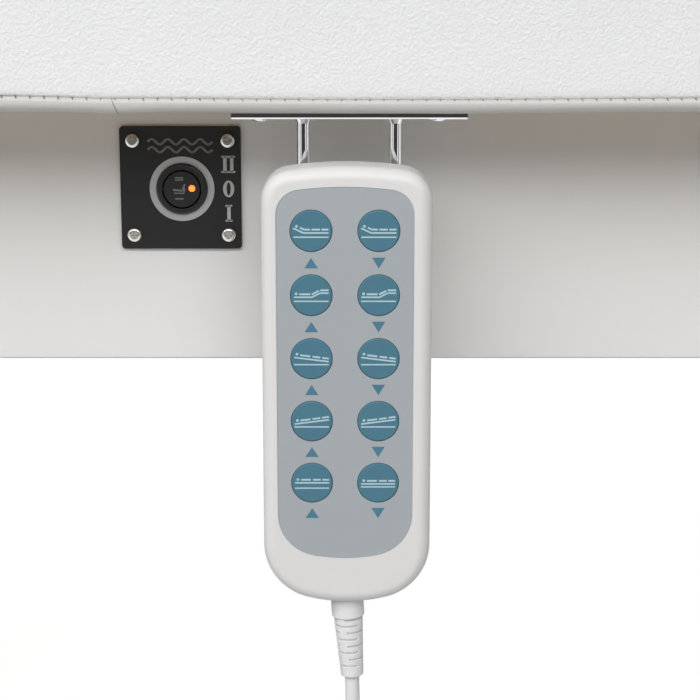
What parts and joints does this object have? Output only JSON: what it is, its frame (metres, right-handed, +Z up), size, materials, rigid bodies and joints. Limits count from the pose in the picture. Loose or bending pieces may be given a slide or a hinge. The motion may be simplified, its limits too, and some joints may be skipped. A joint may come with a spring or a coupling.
{
  "type": "electric massage table",
  "caption": "Upholstered electric massage table with hinged back and leg sections, lifting columns, a hooked handset and a heater switch.",
  "frame": {"origin": "on the floor under the middle of the table's outline", "axes": "+X towards the foot end, +Y towards the rear long side, +Z up; the handset and heater switch are on the front (-Y) side"},
  "size_m": [1.9, 0.7, 0.62],
  "materials": {
    "white_leather": "fine pebbled",
    "plywood": "bare",
    "white_board": "smooth white",
    "heating_cloth": "matt",
    "white_paint": "satin",
    "grey_paint": "satin",
    "bright_steel": "machined",
    "black_plastic": "fine grain",
    "black_rubber": "matt",
    "chrome": "polished",
    "switch_black": "matt",
    "handset_white": "satin",
    "label_grey": "fine grain",
    "key_teal": "satin",
    "board_green": "satin",
    "light_rubber": "satin"
  },
  "bodies": {
    "base": {"base_frame": "white_paint", "base_end_caps": "black_plastic", "levelling_feet": "black_rubber", "head_column_outer": "white_paint", "foot_column_outer": "white_paint", "column_bolts": "bright_steel", "column_drives": "bright_steel", "column_collars": "black_plastic"},
    "head_middle": {"head_column_middle": "white_paint"},
    "foot_middle": {"foot_column_middle": "white_paint"},
    "head_inner": {"head_column_inner": "grey_paint"},
    "foot_inner": {"foot_column_inner": "grey_paint"},
    "head_pivot": {"head_pivot_shaft": "bright_steel"},
    "top": {"top_frame": "grey_paint", "front_apron": "white_board", "rear_apron": "white_board", "end_aprons": "white_board", "seat_board": "plywood", "seat_cushion": "white_leather", "seat_heating_mat": "heating_cloth", "hanger_bracket": "chrome", "hanger_screws": "chrome", "switch_plate": "switch_black", "switch_plate_screws": "chrome", "switch_housing": "switch_black", "control_box": "black_plastic", "cord_gland": "black_plastic", "handset_cord": "light_rubber"},
    "rocker": {"heater_rocker": "switch_black"},
    "handset": {"handset_front_shell": "handset_white", "handset_rear_shell": "handset_white", "handset_overlay": "label_grey", "handset_circuit_board": "board_green", "handset_strain_relief": "light_rubber"},
    "back": {"back_frame": "grey_paint", "back_board": "plywood", "back_cushion": "white_leather", "back_heating_mat": "heating_cloth"},
    "plug": {"face_plug": "white_leather"},
    "thigh": {"thigh_frame": "grey_paint", "thigh_board": "plywood", "thigh_cushion": "white_leather"},
    "calf": {"calf_frame": "grey_paint", "calf_board": "plywood", "calf_cushion": "white_leather"},
    "link": {"leg_link": "grey_paint"},
    "back_motor": {"back_actuator": "black_plastic"},
    "back_rod": {"back_actuator_rod": "bright_steel"},
    "leg_motor": {"leg_actuator": "black_plastic"},
    "leg_rod": {"leg_actuator_rod": "bright_steel"},
    "key_back_up_body": {"key_back_up": "key_teal"},
    "key_back_down_body": {"key_back_down": "key_teal"},
    "key_leg_up_body": {"key_leg_up": "key_teal"},
    "key_leg_down_body": {"key_leg_down": "key_teal"},
    "key_head_end_up_body": {"key_head_end_up": "key_teal"},
    "key_head_end_down_body": {"key_head_end_down": "key_teal"},
    "key_foot_end_up_body": {"key_foot_end_up": "key_teal"},
    "key_foot_end_down_body": {"key_foot_end_down": "key_teal"},
    "key_height_up_body": {"key_height_up": "key_teal"},
    "key_height_down_body": {"key_height_down": "key_teal"}
  },
  "joints": [
    {"name": "height", "type": "slide", "parent": "base", "child": "head_middle", "axis": [0, 0, 1], "range_m": [0, 0.18]},
    {"name": "foot_column_lift", "type": "slide", "parent": "base", "child": "foot_middle", "axis": [0, 0, 1], "range_m": [0, 0.18]},
    {"name": "head_raise", "type": "slide", "parent": "head_middle", "child": "head_inner", "axis": [0, 0, 1], "range_m": [0, 0.15]},
    {"name": "foot_raise", "type": "slide", "parent": "foot_middle", "child": "foot_inner", "axis": [0, 0, 1], "range_m": [0, 0.15]},
    {"name": "head_pivot_turn", "type": "hinge", "parent": "head_inner", "child": "head_pivot", "pos_m": [-0.52, 0, 0.422], "axis": [0, 1, 0], "range_deg": [0, 8.22]},
    {"name": "top_tilt", "type": "hinge", "parent": "head_pivot", "child": "top", "pos_m": [-0.52, 0, 0.422], "axis": [0, -1, 0], "range_deg": [0, 8.2]},
    {"name": "back_lift", "type": "hinge", "parent": "top", "child": "back", "pos_m": [-0.31, 0, 0.6], "axis": [0, 1, 0], "range_deg": [0, 65]},
    {"name": "thigh_lift", "type": "hinge", "parent": "top", "child": "thigh", "pos_m": [0.11, 0, 0.6], "axis": [0, -1, 0], "range_deg": [0, 30]},
    {"name": "calf_level", "type": "hinge", "parent": "thigh", "child": "calf", "pos_m": [0.47, 0, 0.508], "axis": [0, -1, 0], "range_deg": [-30, 0]},
    {"name": "leg_link_swing", "type": "hinge", "parent": "top", "child": "link", "pos_m": [0.11, 0, 0.488], "axis": [0, -1, 0], "range_deg": [0, 30]},
    {"name": "back_motor_swing", "type": "hinge", "parent": "top", "child": "back_motor", "pos_m": [-0.01, 0.07, 0.45], "axis": [0, 1, 0], "range_deg": [0, 8.2]},
    {"name": "back_rod_travel", "type": "slide", "parent": "back_motor", "child": "back_rod", "axis": [-0.9998, 0, 0.0179], "range_m": [0, 0.1485]},
    {"name": "leg_motor_swing", "type": "hinge", "parent": "top", "child": "leg_motor", "pos_m": [-0.18, -0.07, 0.45], "axis": [0, -1, 0], "range_deg": [0, 0.2]},
    {"name": "leg_rod_travel", "type": "slide", "parent": "leg_motor", "child": "leg_rod", "axis": [0.9993, 0, 0.0384], "range_m": [0, 0.0742]},
    {"name": "handset_lift", "type": "slide", "parent": "top", "child": "handset", "axis": [0, 0, 1], "range_m": [0, 0.014]},
    {"name": "heater_switch", "type": "hinge", "parent": "top", "child": "rocker", "pos_m": [-0.1692, -0.2907, 0.4822], "axis": [1, 0, 0], "range_deg": [-12, 12]},
    {"name": "plug_lift", "type": "slide", "parent": "back", "child": "plug", "axis": [0, 0, 1], "range_m": [0, 0.12]},
    {"name": "key_back_up_press", "type": "slide", "parent": "handset", "child": "key_back_up_body", "axis": [0, 1, 0], "range_m": [0, 0.0005], "stiffness_N_per_m": 400, "springref_m": -0.003},
    {"name": "key_back_down_press", "type": "slide", "parent": "handset", "child": "key_back_down_body", "axis": [0, 1, 0], "range_m": [0, 0.0005], "stiffness_N_per_m": 400, "springref_m": -0.003},
    {"name": "key_leg_up_press", "type": "slide", "parent": "handset", "child": "key_leg_up_body", "axis": [0, 1, 0], "range_m": [0, 0.0005], "stiffness_N_per_m": 400, "springref_m": -0.003},
    {"name": "key_leg_down_press", "type": "slide", "parent": "handset", "child": "key_leg_down_body", "axis": [0, 1, 0], "range_m": [0, 0.0005], "stiffness_N_per_m": 400, "springref_m": -0.003},
    {"name": "key_head_end_up_press", "type": "slide", "parent": "handset", "child": "key_head_end_up_body", "axis": [0, 1, 0], "range_m": [0, 0.0005], "stiffness_N_per_m": 400, "springref_m": -0.003},
    {"name": "key_head_end_down_press", "type": "slide", "parent": "handset", "child": "key_head_end_down_body", "axis": [0, 1, 0], "range_m": [0, 0.0005], "stiffness_N_per_m": 400, "springref_m": -0.003},
    {"name": "key_foot_end_up_press", "type": "slide", "parent": "handset", "child": "key_foot_end_up_body", "axis": [0, 1, 0], "range_m": [0, 0.0005], "stiffness_N_per_m": 400, "springref_m": -0.003},
    {"name": "key_foot_end_down_press", "type": "slide", "parent": "handset", "child": "key_foot_end_down_body", "axis": [0, 1, 0], "range_m": [0, 0.0005], "stiffness_N_per_m": 400, "springref_m": -0.003},
    {"name": "key_height_up_press", "type": "slide", "parent": "handset", "child": "key_height_up_body", "axis": [0, 1, 0], "range_m": [0, 0.0005], "stiffness_N_per_m": 400, "springref_m": -0.003},
    {"name": "key_height_down_press", "type": "slide", "parent": "handset", "child": "key_height_down_body", "axis": [0, 1, 0], "range_m": [0, 0.0005], "stiffness_N_per_m": 400, "springref_m": -0.003}
  ],
  "couplings": [
    {"joint": "foot_column_lift", "follows": "height", "ratio": 1},
    {"joint": "head_pivot_turn", "follows": "head_raise", "rad_per_m": 0.95496},
    {"joint": "foot_raise", "follows": "top_tilt", "m_per_rad": 1.0472},
    {"joint": "calf_level", "follows": "thigh_lift", "ratio": -1},
    {"joint": "leg_link_swing", "follows": "thigh_lift", "ratio": 1},
    {"joint": "back_motor_swing", "follows": "back_lift", "ratio": 0.126},
    {"joint": "back_rod_travel", "follows": "back_lift", "m_per_rad": 0.13063},
    {"joint": "leg_motor_swing", "follows": "thigh_lift", "ratio": 0.006},
    {"joint": "leg_rod_travel", "follows": "thigh_lift", "m_per_rad": 0.141}
  ]
}
